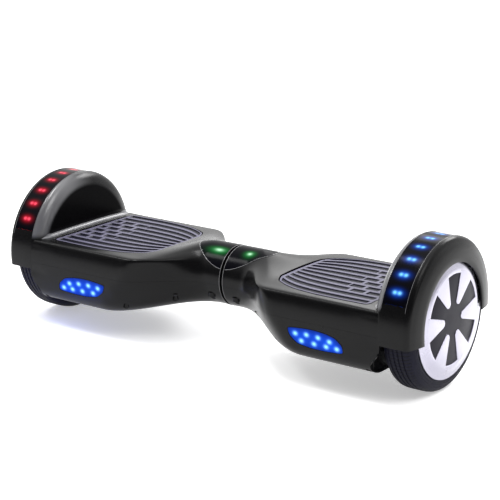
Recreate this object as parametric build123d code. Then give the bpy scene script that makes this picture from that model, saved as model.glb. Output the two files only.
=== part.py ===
from build123d import *
import math
import os

# Self balancing hoverboard. X runs along the axles, the front faces -Y, +Z is up.
# The origin is on the ground under the centre of the board. All sizes are in millimetres.
# Every paired piece is built for the +X half and mirrored for the -X half.

# ---- driving dimensions ----
AXLE_Z = 85.0            # height of the wheel axles and of the centre pivot
TYRE_R = 85.0
FENDER_R = 93.0          # outer radius of the wheel fenders
HALF_LENGTH = 295.0      # centre seam to the outer lip of a fender
NECK_R = 37.2            # radius of the round waist at the centre seam
SEAM_X = 1.5             # each half starts this far from the centre plane
WALL = 3.0               # shell wall
PARTING_Z = 80.0         # joint between the upper and lower shells
DECK_Z = 110.3           # top of the deck beside the foot pad
FLOOR_Z = 31.0           # flat underside

# ---- body and wheel well ----
BODY_END_X = 250.0       # end of the front and rear walls
WELL_X = 244.0           # outer face of the wall between body and wheel
WELL_R = 88.0            # space cleared round the tyre
FENDER_LOW_Z = 71.0      # front end of the fender; its rear end stops at the parting plane
FENDER_WALL = 3.7
FENDER_LIP_R = 64.6      # arch opening on the outer side
AXLE_HOLE_R = 14.0

# ---- foot pad ----
PAD_TOP_Z = 109.6
PAD_THICK = 4.2
PAD_GAP = 0.6
TRAY_TOP_Z = 103.0
TRAY_WALL = 2.4
PLUNGER_X = (140.0, 190.0)
PLUNGER_R = 4.0

# ---- fender light strip ----
STRIP_X = (253.6, 283.6)
STRIP_ANGLES = (21.0, 159.0)      # measured up from the front horizontal
STRIP_FLOOR_R = FENDER_R - 1.8
STRIP_LED_STEP = 13.1
STRIP_LED_FIRST = 29.8
STRIP_LED_COUNT = 10

# ---- wheel and motor ----
AXLE_R = 8.0
SHAFT_PLAY = 0.05
RIM_X = (250.0, 286.5)
RIM_R = 66.0
ROTOR_R = 56.0
STATOR_R = 52.0
SLOT_COUNT = 27
MAGNET_COUNT = 30
CAP_R = 69.5
ARM_R = 52.4
ARM_COUNT = 6

# ---- centre pivot ----
TUBE_R = 17.0
TUBE_BORE_R = 14.0
TUBE_HALF = 64.0
BUSH_R = 20.0
SOCKET_R = 23.0
SOCKET_X = (12.0, 60.0)
TWIST_DEG = 14.0
STOP_PIN_R = 3.0
STOP_PIN_X = 40.0

# ---- power button and charging socket, in the rear wall of the -X half ----
BUTTON_X = -178.0
CHARGE_X = -136.0
REAR_Z = 62.0
REAR_FACE_Y = 92.95
BUTTON_R = 7.5
SOCKET_BORE_R = 6.5

# ---- shell screws: x, y on the +X half, and the height of the head's seat ----
SCREW_SPOTS = ((18.0, 29.0, 68.0), (62.0, 45.0, 62.0), (112.0, 78.0, 60.0), (236.0, 82.0, 62.0))

BIG = 400.0


# ---------------------------------------------------------------- helpers
def box(x, y, z):
    """Box between two limits on each axis."""
    size = (x[1] - x[0], y[1] - y[0], z[1] - z[0])
    centre = ((x[0] + x[1]) / 2, (y[0] + y[1]) / 2, (z[0] + z[1]) / 2)
    return Pos(*centre) * Box(*size)


def rod_x(radius, x, y=0.0, z=AXLE_Z):
    """Cylinder along X between two stations."""
    return Pos((x[0] + x[1]) / 2, y, z) * Rot(0, 90, 0) * Cylinder(radius, x[1] - x[0])


def rod_y(radius, y, x, z):
    """Cylinder along Y between two stations."""
    return Pos(x, (y[0] + y[1]) / 2, z) * Rot(90, 0, 0) * Cylinder(radius, y[1] - y[0])


def rod_z(radius, z, x, y):
    """Vertical cylinder between two heights."""
    return Pos(x, y, (z[0] + z[1]) / 2) * Cylinder(radius, z[1] - z[0])


def tube_x(outer, inner, x, y=0.0, z=AXLE_Z):
    return rod_x(outer, x, y, z) - rod_x(inner, (x[0] - 1, x[1] + 1), y, z)


def spin(outline, degrees=360.0):
    """Revolve a profile of (x, radius) points or edges about the axle line."""
    return revolve(make_face(outline), Axis((0, 0, AXLE_Z), (1, 0, 0)), degrees)


def at_radius(x, radius):
    """Point of a wheel profile, straight above the axle line."""
    return (x, 0, AXLE_Z + radius)


def ring_profile(*points):
    """Closed profile of straight lines through (x, radius) points."""
    corners = [at_radius(*p) for p in points]
    return Polyline(*corners, close=True)


def round_axle(angle):
    """Placement that turns a piece above the axle line about it, 0 = front horizontal, 90 = top."""
    turn = Location((0, 0, 0), (1, 0, 0), 90.0 - angle)
    return Pos(0, 0, AXLE_Z) * turn * Pos(0, 0, -AXLE_Z)


def mirrored(shape):
    return mirror(shape, about=Plane.YZ)


def write(shape, node):
    export_step(shape, "parts/" + node + ".step")


def write_pair(shape, node):
    """The +X piece and its mirror image."""
    write(shape, "right_" + node)
    write(mirrored(shape), "left_" + node)


# ---------------------------------------------------------------- outer form of one half
def ease(x, start, end):
    """Smooth rise from 0 to 1 between two stations."""
    t = min(max((x - start) / (end - start), 0.0), 1.0)
    return t * t * (3.0 - 2.0 * t)


def neck_point(angle, inset):
    """Point of the round waist, angle measured from the top."""
    radius = NECK_R - inset
    turn = math.radians(angle)
    return radius * math.sin(turn), AXLE_Z + radius * math.cos(turn)


def section_points(x, inset):
    """Half outline at one station, crown to floor; every second point is the middle of an edge."""
    side_y = 92.8 - inset
    deck_z = DECK_Z - inset
    floor_z = FLOOR_Z + inset
    body = (
        (0.0, deck_z, 0.0, ease(x, 34, 98)),
        (45.0, deck_z - 0.3, 28.0, ease(x, 32, 98)),
        (88.5 - inset, deck_z - 1.8, 56.0, ease(x, 28, 100)),
        (side_y - 1.2, 94.0, 73.0, ease(x, 26, 108)),
        (side_y, 78.0, 90.0, ease(x, 24, 116)),
        (side_y - 0.5, 63.0, 107.5, ease(x, 20, 128)),
        (90.5 - inset, 48.0 + 0.3 * inset, 125.0, ease(x, 18, 140)),
        (83.0 - 0.65 * inset, 36.6 + 0.8 * inset, 138.0, ease(x, 16, 146)),
        (66.0 - 0.3 * inset, floor_z - 0.3, 151.0, ease(x, 14, 150)),
        (33.0, floor_z - 0.3, 165.5, ease(x, 14, 150)),
        (0.0, floor_z - 0.3, 180.0, ease(x, 14, 150)),
    )
    points = []
    for y, z, angle, share in body:
        neck_y, neck_z = neck_point(angle, inset)
        points.append((neck_y + (y - neck_y) * share, neck_z + (z - neck_z) * share))
    return points


def section_face(x, inset):
    """Cross-section at one station, of parabolic edges with a corner at the deck and floor creases."""
    half = section_points(x, inset)
    outline = half + [(-y, z) for y, z in reversed(half[1:-1])]
    outline.append(outline[0])
    edges = []
    for first in range(0, len(outline) - 1, 2):
        (y0, z0), (y1, z1), (y2, z2) = outline[first:first + 3]
        handle = (2 * y1 - (y0 + y2) / 2, 2 * z1 - (z0 + z2) / 2)
        edges.append(Bezier((x, y0, z0), (x, *handle), (x, y2, z2)))
    return make_face(edges)


def body_form(inset=0.0):
    """Solid outer form of the +X half from the seam to the end of its walls, set in by inset."""
    stations = [SEAM_X, 26, 46, 68, 92, 120, 150, BODY_END_X]
    form = loft([section_face(x, inset) for x in stations], ruled=True)
    below_floor = box((0, BIG), (-BIG, BIG), (-BIG, FLOOR_Z + inset))
    return form - below_floor


def fender_ring():
    """Full ring of the fender with the round wall that faces the deck."""
    inner_r = FENDER_R - FENDER_WALL
    shoulder = 13.0
    side_in = WELL_X - WALL
    profile = [
        Line(at_radius(side_in, AXLE_HOLE_R), at_radius(side_in, FENDER_R - shoulder)),
        ThreePointArc(
            at_radius(side_in, FENDER_R - shoulder),
            at_radius(side_in + 0.293 * shoulder, FENDER_R - 0.293 * shoulder),
            at_radius(side_in + shoulder, FENDER_R),
        ),
        Line(at_radius(side_in + shoulder, FENDER_R), at_radius(284.0, FENDER_R)),
        ThreePointArc(at_radius(284.0, FENDER_R), at_radius(288.6, 91.2), at_radius(291.0, 87.0)),
        ThreePointArc(at_radius(291.0, 87.0), at_radius(293.6, 76.0), at_radius(HALF_LENGTH, FENDER_LIP_R)),
        Line(at_radius(HALF_LENGTH, FENDER_LIP_R), at_radius(HALF_LENGTH - 2.4, FENDER_LIP_R)),
        ThreePointArc(
            at_radius(HALF_LENGTH - 2.4, FENDER_LIP_R), at_radius(291.2, 76.0), at_radius(288.6, 86.2)
        ),
        ThreePointArc(at_radius(288.6, 86.2), at_radius(287.0, 88.4), at_radius(283.6, inner_r)),
        Line(at_radius(283.6, inner_r), at_radius(255.0, inner_r)),
        ThreePointArc(
            at_radius(255.0, inner_r), at_radius(247.2, 86.1), at_radius(WELL_X, FENDER_R - 14.7)
        ),
        Line(at_radius(WELL_X, FENDER_R - 14.7), at_radius(WELL_X, AXLE_HOLE_R)),
        Line(at_radius(WELL_X, AXLE_HOLE_R), at_radius(side_in, AXLE_HOLE_R)),
    ]
    return spin(profile)


def hollow_body(outer, inner):
    """Walls of one half, closed at the seam and at the wheel well, open round the tyre."""
    cavity = inner & box((SEAM_X + 4, WELL_X - WALL), (-BIG, BIG), (0, BIG))
    well = rod_x(WELL_R, (WELL_X, BODY_END_X + 1)) + (inner & box((WELL_X, BIG), (-BIG, BIG), (0, BIG)))
    tube_hole = rod_x(SOCKET_R + 0.5, (0, 8))
    return outer - cavity - well - tube_hole - rod_x(AXLE_HOLE_R, (200, 260))


# ---------------------------------------------------------------- shells
def pad_outline(z, grow=0.0):
    """Plan outline of the foot pad as a face at height z."""
    inner_x = 91.0 - grow
    outer_x = 228.0 + grow
    half = 75.0 + grow
    corner_y = 50.0
    edges = [
        ThreePointArc((inner_x + 2, -corner_y, z), (inner_x - 1, 0, z), (inner_x + 2, corner_y, z)),
        Spline(
            (inner_x + 2, corner_y, z), (103 - 0.5 * grow, 59 + 0.9 * grow, z), (124, 69.5 + grow, z),
            (152, half - 0.3, z), (190, half + 0.8, z), (outer_x - 5, half, z),
            tangents=((0.25, 1, 0), (1, -0.05, 0)),
        ),
        Line((outer_x - 5, half, z), (outer_x, half - 5, z)),
        Line((outer_x, half - 5, z), (outer_x, -half + 5, z)),
        Line((outer_x, -half + 5, z), (outer_x - 5, -half, z)),
        Spline(
            (outer_x - 5, -half, z), (190, -half - 0.8, z), (152, -half + 0.3, z),
            (124, -69.5 - grow, z), (103 - 0.5 * grow, -59 - 0.9 * grow, z), (inner_x + 2, -corner_y, z),
            tangents=((-1, -0.05, 0), (-0.25, 1, 0)),
        ),
    ]
    return make_face(edges)


def pad_prism(bottom, top, grow):
    return extrude(pad_outline(bottom, grow), top - bottom, dir=(0, 0, 1))


def indicator_prism(grow):
    """Upright prism of the arrow window: half an oval pointing away from the seam."""
    oval = Ellipse(53.0 + grow, 34.0 + grow)
    window = extrude(Plane.XY.offset(97.0 - grow) * oval, 40)
    return window & box((SEAM_X + 1.5 - grow, BIG), (-BIG, BIG), (0, BIG))


def headlight_outline(y, grow=0.0):
    """Outline of the front light bar as a face in an upright plane."""
    corners = [
        (134, 70), (152, 72), (168, 72.8), (185, 71.5), (198, 68.5), (207, 61), (208, 52),
        (185, 50.4), (165, 50.4), (147, 53), (137, 61),
    ]
    centre_x = 172.0
    centre_z = 61.5
    spread_x = 1.0 + grow / 36.0
    spread_z = 1.0 + grow / 11.0
    placed = []
    for x, z in corners:
        placed.append((centre_x + (x - centre_x) * spread_x, y, centre_z + (z - centre_z) * spread_z))
    return make_face(Polyline(*placed, close=True))


def headlight_prism(near, far, grow):
    return extrude(headlight_outline(near, grow), far - near, dir=(0, 1, 0))


def strip_ring(inner_r, outer_r, margin=0.0):
    """Arc over the fender, as wide and long as the light strip; it is spun from the top to the front."""
    x0 = STRIP_X[0] - margin
    x1 = STRIP_X[1] + margin
    arc = spin(ring_profile((x0, inner_r), (x0, outer_r), (x1, outer_r), (x1, inner_r)),
               STRIP_ANGLES[1] - STRIP_ANGLES[0])
    return round_axle(STRIP_ANGLES[1]) * arc


def screw_columns(radius, bottom, top):
    """Upright cylinders at every screw; with bottom=None each starts at its own seat."""
    columns = []
    for x, y, seat in SCREW_SPOTS:
        start = seat if bottom is None else bottom
        columns += [rod_z(radius, (start, top), x, hand * y) for hand in (-1, 1)]
    return columns


def screw_pockets(radius):
    return [rod_z(radius, (0, seat), x, hand * y) for x, y, seat in SCREW_SPOTS for hand in (-1, 1)]


def upper_shell(outer, fender, hollow):
    shell = hollow & box((-BIG, BIG), (-BIG, BIG), (PARTING_Z, BIG))
    tray = pad_prism(TRAY_TOP_Z - TRAY_WALL, DECK_Z - 2.0, PAD_GAP + TRAY_WALL)
    ring = fender & box((WELL_X - WALL, BIG), (-BIG, BIG), (PARTING_Z, BIG))
    ends = fender & box((253, BIG), (-BIG, 0), (FENDER_LOW_Z, PARTING_Z))
    bosses = [column & outer for column in screw_columns(4.5, PARTING_Z, 108.0)]
    posts = [rod_z(3.0, (91.6, TRAY_TOP_Z - 1), x - 8, hand * 46) for x in PLUNGER_X for hand in (-1, 1)]
    shell = shell + [tray, ring, ends] + bosses + posts
    cuts = [pad_prism(TRAY_TOP_Z, DECK_Z + 30, PAD_GAP), rod_z(5.0, (100, 130), 25, 0)]
    for x in PLUNGER_X:
        cuts += [rod_z(PLUNGER_R + 1.0, (90, TRAY_TOP_Z + 1), x, hand * 30) for hand in (-1, 1)]
    cuts += screw_columns(1.5, PARTING_Z - 1, 92.0)
    cuts += [indicator_skin(outer, 1.9, 0.3), strip_ring(STRIP_FLOOR_R, FENDER_R + 5, 0.2)]
    return shell - cuts


def lower_shell(outer, hollow):
    shell = hollow & box((-BIG, BIG), (-BIG, BIG), (0, PARTING_Z))
    inside = outer & box((SEAM_X + 1, WELL_X - 1), (-BIG, BIG), (0, PARTING_Z))
    shell = shell + [column & inside for column in screw_columns(5.5, FLOOR_Z, PARTING_Z)]
    cuts = screw_pockets(3.6) + screw_columns(1.6, None, PARTING_Z + 1)
    return shell - cuts - headlight_prism(-REAR_FACE_Y - 5, -86.0, 0.2)


def rear_openings():
    """Holes for the power switch and the charging socket in the rear wall."""
    switch = rod_y(8.6, (80, 100), BUTTON_X, REAR_Z) + rod_y(10.7, (92.0, 100), BUTTON_X, REAR_Z)
    return [switch, rod_y(12.4, (80, 100), CHARGE_X, REAR_Z)]


def indicator_skin(outer, depth, grow=0.0):
    """Outer layer of the neck inside the arrow window."""
    return (outer - body_form(depth)) & indicator_prism(grow)


def indicator_board():
    return box((13, 35), (-11, 11), (112.0, 113.4)) + rod_z(3.4, (113.4, 115.6), 25, 0)


# ---------------------------------------------------------------- lights and pads
def fender_lens():
    return strip_ring(FENDER_R - 1.0, FENDER_R)


def fender_leds():
    tape = strip_ring(STRIP_FLOOR_R, STRIP_FLOOR_R + 0.45, -4.0)
    middle_x = (STRIP_X[0] + STRIP_X[1]) / 2
    for index in range(STRIP_LED_COUNT):
        place = round_axle(STRIP_LED_FIRST + index * STRIP_LED_STEP)
        for side in (-3.2, 3.2):
            x = (middle_x + side - 2.2, middle_x + side + 2.2)
            chip = box(x, (-2.2, 2.2), (AXLE_Z + STRIP_FLOOR_R + 0.2, AXLE_Z + STRIP_FLOOR_R + 0.75))
            tape += place * chip
    return tape


def headlight_lens():
    return headlight_prism(-92.8, -89.0, 0.0)


def headlight_board():
    board = headlight_prism(-89.0, -87.6, -0.8)
    for index in range(4):
        upper_x = 145 + 15.5 * index
        board += rod_y(2.2, (-87.6, -86.4), upper_x, 65.0)
        board += rod_y(2.2, (-87.6, -86.4), upper_x + 9.5, 57.0)
    return board


def foot_pad():
    pad = pad_prism(PAD_TOP_Z - PAD_THICK, PAD_TOP_Z, 0.0)
    for x in PLUNGER_X:
        for hand in (-1, 1):
            pad += rod_z(PLUNGER_R, (TRAY_TOP_Z - TRAY_WALL, PAD_TOP_Z - 2), x, hand * 30)
    return pad


def sensor_board():
    board = box((124, 194), (-52, 52), (90.0, 91.6))
    for x in PLUNGER_X:
        for hand in (-1, 1):
            board += box((x - 5, x + 5), (hand * 30 - 6, hand * 30 + 6), (91.6, 97.8))
    return board + box((158, 172), (-8, 8), (91.6, 93.4))


# ---------------------------------------------------------------- frame and centre pivot
def frame(socket_bore):
    """Cast half frame: floor tray, pivot socket on a web and the seat of the axle."""
    plate = box((136, 240.5), (-58, 58), (36, 40)) + box((121, 137), (-20, 20), (36.5, 40))
    rails = [box((136, 240.5), sorted((hand * 55, hand * 59)), (36, 58)) for hand in (-1, 1)]
    web_outline = Polyline(
        (16, 0, 66), (16, 0, 60), (66, 0, 57), (122, 0, 37), (122, 0, 52), (60, 0, 78), close=True
    )
    web = extrude(make_face(web_outline), 11, both=True, dir=(0, 1, 0))
    web -= rod_x(SOCKET_R + 1, (SOCKET_X[1], 80))
    seat = box((200, 238), (-22, 22), (38, AXLE_Z))
    socket = rod_x(SOCKET_R, SOCKET_X)
    body = plate + rails + [web, seat, socket]
    body -= rod_x(socket_bore, (0, 80))
    body -= rod_x(AXLE_R, (190, 250))
    for x, y in bolt_spots():
        body -= rod_z(2.5, (60, 90), x, y)
    return body


def bolt_spots():
    return [(x, hand * 15.0) for x in (208.0, 230.0) for hand in (-1, 1)]


def axle_clamp():
    cap = box((201, 237), (-21, 21), (AXLE_Z, 95.0)) - rod_x(AXLE_R, (190, 250))
    for x, y in bolt_spots():
        cap -= rod_z(2.5, (80, 100), x, y)
    return cap


def clamp_bolts():
    bolts = []
    for x, y in bolt_spots():
        bolts.append(rod_z(2.5, (62, 95), x, y) + rod_z(4.4, (95, 99), x, y) - rod_z(2.0, (97, 100), x, y))
    return Compound(children=bolts)


def centre_tube():
    """Steel tube, clamped in the left frame, with a slot that the stop pin runs in."""
    tube = tube_x(TUBE_R, TUBE_BORE_R, (-TUBE_HALF, TUBE_HALF))
    slot_half = TWIST_DEG + math.degrees(math.asin(STOP_PIN_R / TUBE_BORE_R)) + 0.6
    width = (STOP_PIN_X - STOP_PIN_R - 0.1, STOP_PIN_X + STOP_PIN_R + 0.1)
    ring = ring_profile((width[0], 12), (width[0], 20), (width[1], 20), (width[1], 12))
    for turn in (-slot_half, 0.0):
        sector = spin(ring, slot_half)
        tube -= Pos(0, 0, AXLE_Z) * Location((0, 0, 0), (1, 0, 0), turn) * Pos(0, 0, -AXLE_Z) * sector
    return tube - tube_x(TUBE_R + 1, TUBE_R - 1.2, (61.0, 62.6))


def centre_bushes():
    """Two flanged bushes in the right frame that turn on the tube."""
    bore = TUBE_R + SHAFT_PLAY
    near = tube_x(BUSH_R, bore, (10, 30)) + tube_x(SOCKET_R, bore, (10, 12))
    far = tube_x(BUSH_R, bore, (48, 60.5)) + tube_x(SOCKET_R, bore, (60, 60.9))
    return Compound(children=[near, far])


def centre_lock_ring():
    ring = tube_x(TUBE_R + 3.0, TUBE_R - 1.2, (61.05, 62.55))
    return ring - box((60, 64), (-4, 4), (AXLE_Z - 25, AXLE_Z))


def twist_stop_pin():
    return rod_z(STOP_PIN_R, (AXLE_Z + TUBE_BORE_R - 1.0, AXLE_Z + SOCKET_R), STOP_PIN_X, 0)


# ---------------------------------------------------------------- wheel
def axle():
    return rod_x(AXLE_R, (196, 281.5)) - rod_x(4.0, (190, 258))


def stator():
    core = tube_x(STATOR_R, 26, (260, 276)) + tube_x(30, AXLE_R, (263, 273))
    for index in range(SLOT_COUNT):
        place = Pos(0, 0, AXLE_Z) * Rot(index * 360.0 / SLOT_COUNT, 0, 0)
        slot = Pos(268, 0, 42) * Box(30, 5.0, 16)
        mouth = Pos(268, 0, 51) * Box(30, 2.0, 6)
        core -= place * (slot + mouth)
    return core


def magnets():
    blocks = []
    for index in range(MAGNET_COUNT):
        place = Pos(0, 0, AXLE_Z) * Rot(index * 360.0 / MAGNET_COUNT, 0, 0)
        blocks.append(place * (Pos(268, 0, 54.2) * Box(20, 9.6, 2.6)))
    return Compound(children=blocks)


def motor_rim():
    profile = ring_profile(
        (253.6, RIM_R - 4), (RIM_X[0] + 1.5, RIM_R - 4), (RIM_X[0] + 1.5, RIM_R), (RIM_X[1], RIM_R),
        (RIM_X[1], 0), (282.2, 0), (282.2, 16.0), (275.0, 16.0), (275.0, 20.0), (282.2, 20.0),
        (282.2, ROTOR_R), (253.6, ROTOR_R),
    )
    return spin(profile)


def motor_cover():
    cover = spin(ring_profile(
        (RIM_X[0], 61.5), (253.6, 61.5), (253.6, 21.5), (259.0, 21.5), (259.0, 17.5), (252.0, 17.5),
        (252.0, 10.5), (RIM_X[0], 10.5),
    ))
    for index in range(6):
        place = Pos(0, 0, AXLE_Z) * Rot(index * 60.0 + 30.0, 0, 0)
        cover -= place * (Pos(250, 0, 58.8) * Rot(0, 90, 0) * Cylinder(1.6, 8))
    return cover


def wheel_bearings():
    inner = tube_x(17.5, AXLE_R + SHAFT_PLAY, (252.0, 259.0))
    outer = tube_x(16.0, AXLE_R + SHAFT_PLAY, (275.0, 281.5))
    return Compound(children=[inner, outer])


def tyre():
    profile = [
        Line(at_radius(251.8, RIM_R), at_radius(249.2, 72)),
        ThreePointArc(at_radius(249.2, 72), at_radius(250.6, 79.6), at_radius(256.5, 84.3)),
        ThreePointArc(at_radius(256.5, 84.3), at_radius(269, TYRE_R), at_radius(281.5, 84.3)),
        ThreePointArc(at_radius(281.5, 84.3), at_radius(287.4, 79.6), at_radius(288.8, 72)),
        Line(at_radius(288.8, 72), at_radius(286.2, RIM_R)),
        Line(at_radius(286.2, RIM_R), at_radius(251.8, RIM_R)),
    ]
    return spin(profile)


def arm_star(x, thick, radius):
    """Six wedge arms joined at the middle: a disc less six round-nosed teeth."""
    disc = rod_x(radius, (x, x + thick))
    near = x - 1
    nose_r = 5.0
    nose_z = AXLE_Z + 23.0
    rim_half = 15.5
    rim_z = AXLE_Z + radius + 6.0
    for index in range(ARM_COUNT):
        outline = Polyline(
            (near, -nose_r, nose_z), (near, -rim_half, rim_z),
            (near, rim_half, rim_z), (near, nose_r, nose_z), close=True,
        )
        tooth = extrude(make_face(outline), thick + 2, dir=(1, 0, 0))
        tooth += rod_x(nose_r, (near, near + thick + 2), 0, nose_z)
        turn = Location((0, 0, 0), (1, 0, 0), 30.0 + index * 60.0)
        disc -= Pos(0, 0, AXLE_Z) * turn * Pos(0, 0, -AXLE_Z) * tooth
    return disc


def hub_cap():
    dish = spin(ring_profile(
        (291.2, 0), (293.4, 0), (293.4, 54.5), (290.6, 66.0), (290.0, CAP_R), (289.1, CAP_R),
        (286.5, 62.0), (286.5, 56.0), (288.8, 56.0), (291.2, 50.0),
    ))
    return dish - arm_star(292.4, 2.0, ARM_R)


def hub_cap_inserts():
    return arm_star(292.4, 0.7, ARM_R)


# ---------------------------------------------------------------- electrics
def battery_pack():
    return fillet(box((-195.5, -124), (-52, 52), (40, 78)).edges(), 2.5)


def battery_bracket():
    """Strap over the battery, bent down to the frame's rails."""
    strap = box((-165, -149), (-54, 54), (78, 79.6))
    strap += [box((-165, -149), sorted((hand * 52.4, hand * 54)), (58, 79)) for hand in (-1, 1)]
    return strap + [box((-165, -149), sorted((hand * 52.4, hand * 59)), (58, 59.4)) for hand in (-1, 1)]


def mainboard():
    """Control board with its connectors, heat sink, transistors and two capacitors."""
    board = box((122, 194), (-50, 50), (44, 45.6))
    board += [rod_z(3, (40, 44), x, hand * 46) for x in (140, 190) for hand in (-1, 1)]
    board += [box((122, 129), (y - 6, y + 6), (45.6, 53)) for y in (-34, -8, 8, 26, 42)]
    board += box((150, 162), (-46, 46), (45.6, 58))
    board += [box((162, 166), (-42 + 14 * index, -32 + 14 * index), (45.6, 60)) for index in range(6)]
    return board + [rod_z(8, (45.6, 70), 182, hand * 30) for hand in (-1, 1)]


def lead(points, radius=2.5):
    """Round cable: straight runs joined by tangent arcs as large as the runs allow."""
    vectors = [Vector(*p) for p in points]
    radii = []
    for before, here, after in zip(vectors, vectors[1:], vectors[2:]):
        turn = math.radians((here - before).get_angle(after - here))
        run = min((here - before).length, (after - here).length)
        radii.append(0.45 * run / math.tan(turn / 2))
    print("cable radii", [round(r, 1) for r in radii])
    path = FilletPolyline(*points, radius=radii)
    start = Plane(origin=path @ 0, z_dir=path % 0)
    return sweep(start * Circle(radius), path=path)


def left_harness():
    """Motor cable and battery lead, side by side through the pivot tube to plugs past its end."""
    motor = lead([(-195.9, 0, 85), (-170, 0, 85), (-130, 5, 86), (70, 5, 85)])
    battery = lead([(-123.9, -5, 70), (-110, -5, 70), (-92, -5, 85), (70, -5, 84.5)])
    return Compound(children=[motor, battery])


def right_harness():
    """Leads from the plugs and from the other motor down to the connectors of the main board."""
    leads = [lead([(70.4, y, 85), (98, y, 84), (125, 1.6 * y, 74), (125, 1.6 * y, 53.1)]) for y in (-5, 5)]
    leads.append(lead([(195.9, 0, 85), (180, 0, 85), (140, 20, 82), (125, 26, 70), (125, 26, 53.1)]))
    return Compound(children=leads)


def power_switch():
    barrel = rod_y(8.5, (78, 92.0), BUTTON_X, REAR_Z) + rod_y(10.5, (92.0, REAR_FACE_Y), BUTTON_X, REAR_Z)
    return barrel - rod_y(BUTTON_R + 0.3, (81, 100), BUTTON_X, REAR_Z)


def power_button():
    return rod_y(BUTTON_R, (83, REAR_FACE_Y), BUTTON_X, REAR_Z)


def charge_socket():
    """Three-pin socket in a cup that lets its cap lie flush with the wall."""
    cup = rod_y(12.3, (86, 92.3), CHARGE_X, REAR_Z) - rod_y(11.3, (89, 95), CHARGE_X, REAR_Z)
    barrel = rod_y(8.5, (76, 90.6), CHARGE_X, REAR_Z)
    socket = cup + barrel - rod_y(SOCKET_BORE_R, (82, 95), CHARGE_X, REAR_Z)
    for index in range(3):
        angle = math.radians(90 + 120 * index)
        socket += rod_y(0.9, (81.5, 84.5), CHARGE_X + 3.4 * math.cos(angle), REAR_Z + 3.4 * math.sin(angle))
    return socket


def charge_cap():
    """Flap over the socket with a tab that ends in a round hinge bead."""
    flap = rod_y(9.8, (91.0, 92.8), CHARGE_X, REAR_Z)
    tab = box((CHARGE_X + 8, CHARGE_X + 10), (91.5, 92.8), (REAR_Z - 3, REAR_Z + 3))
    return flap + tab + rod_z(0.7, (REAR_Z - 3, REAR_Z + 3), CHARGE_X + 10, 92.1)


def shell_screws():
    screws = []
    for x, y, seat in SCREW_SPOTS:
        for hand in (-1, 1):
            head = rod_z(3.2, (seat - 2.6, seat), x, hand * y)
            head -= rod_z(1.5, (seat - 3, seat - 1.4), x, hand * y)
            screws.append(head + rod_z(1.5, (seat, 91.9), x, hand * y))
    return Compound(children=screws)


# ---------------------------------------------------------------- build
def write_shells():
    outer = body_form()
    hollow = hollow_body(outer, body_form(WALL))
    fender = fender_ring()
    write_pair(upper_shell(outer, fender, hollow), "upper_shell")
    lower = lower_shell(outer, hollow)
    write(lower, "right_lower_shell")
    write(mirrored(lower) - rear_openings(), "left_lower_shell")
    write_pair(indicator_skin(outer, 1.6), "indicator_lens")


def write_frames():
    pin_hole = rod_z(STOP_PIN_R, (AXLE_Z, AXLE_Z + 30), STOP_PIN_X, 0)
    write(frame(BUSH_R) - pin_hole, "right_frame")
    write(mirrored(frame(TUBE_R)), "left_frame")


def build():
    os.makedirs("parts", exist_ok=True)
    write_shells()
    write_frames()
    paired = (
        foot_pad, sensor_board, fender_lens, fender_leds, headlight_lens, headlight_board, indicator_board,
        axle_clamp, clamp_bolts, axle, stator, magnets, motor_rim, motor_cover, wheel_bearings, tyre,
        hub_cap, hub_cap_inserts, shell_screws,
    )
    for piece in paired:
        write_pair(piece(), piece.__name__)
    single = (
        centre_tube, centre_bushes, centre_lock_ring, twist_stop_pin, battery_pack, battery_bracket,
        mainboard, left_harness, right_harness, power_switch, power_button, charge_socket, charge_cap,
    )
    for piece in single:
        write(piece(), piece.__name__)


build()
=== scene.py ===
import math

import bmesh
import bpy
import numpy as np
from mathutils import Matrix, Vector

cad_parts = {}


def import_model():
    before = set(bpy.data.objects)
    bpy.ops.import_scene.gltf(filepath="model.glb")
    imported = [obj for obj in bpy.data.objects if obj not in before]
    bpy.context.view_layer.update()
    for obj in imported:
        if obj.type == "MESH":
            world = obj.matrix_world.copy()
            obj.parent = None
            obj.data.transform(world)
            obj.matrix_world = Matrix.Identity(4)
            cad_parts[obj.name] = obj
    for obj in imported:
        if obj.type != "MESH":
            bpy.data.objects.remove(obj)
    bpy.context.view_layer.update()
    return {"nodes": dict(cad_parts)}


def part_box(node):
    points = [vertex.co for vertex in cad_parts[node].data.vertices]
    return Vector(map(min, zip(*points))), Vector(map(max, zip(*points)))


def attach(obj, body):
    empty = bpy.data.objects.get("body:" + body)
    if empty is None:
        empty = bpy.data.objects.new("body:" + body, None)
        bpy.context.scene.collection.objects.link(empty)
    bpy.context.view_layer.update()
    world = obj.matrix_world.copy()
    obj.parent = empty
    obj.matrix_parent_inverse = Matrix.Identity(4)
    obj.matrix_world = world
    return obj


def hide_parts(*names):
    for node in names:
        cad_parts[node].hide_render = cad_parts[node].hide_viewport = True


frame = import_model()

# Looks of the self balancing hoverboard. Shapes are worked out in millimetres and scaled to metres
# when a mesh is made. Every paired piece is shaped for the +X half and mirrored for the -X half.
MM = 0.001


def box_side(node, end, axis):
    """Low (0) or high (1) side of a CAD node's box along an axis, in millimetres to a tenth."""
    return round(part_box(node)[end]["xyz".index(axis)] / MM, 1)


def box_middle(node, axis):
    """Middle of a CAD node's box along an axis, in millimetres to a tenth."""
    low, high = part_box(node)
    index = "xyz".index(axis)
    return round((low[index] + high[index]) / 2 / MM, 1)


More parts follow.
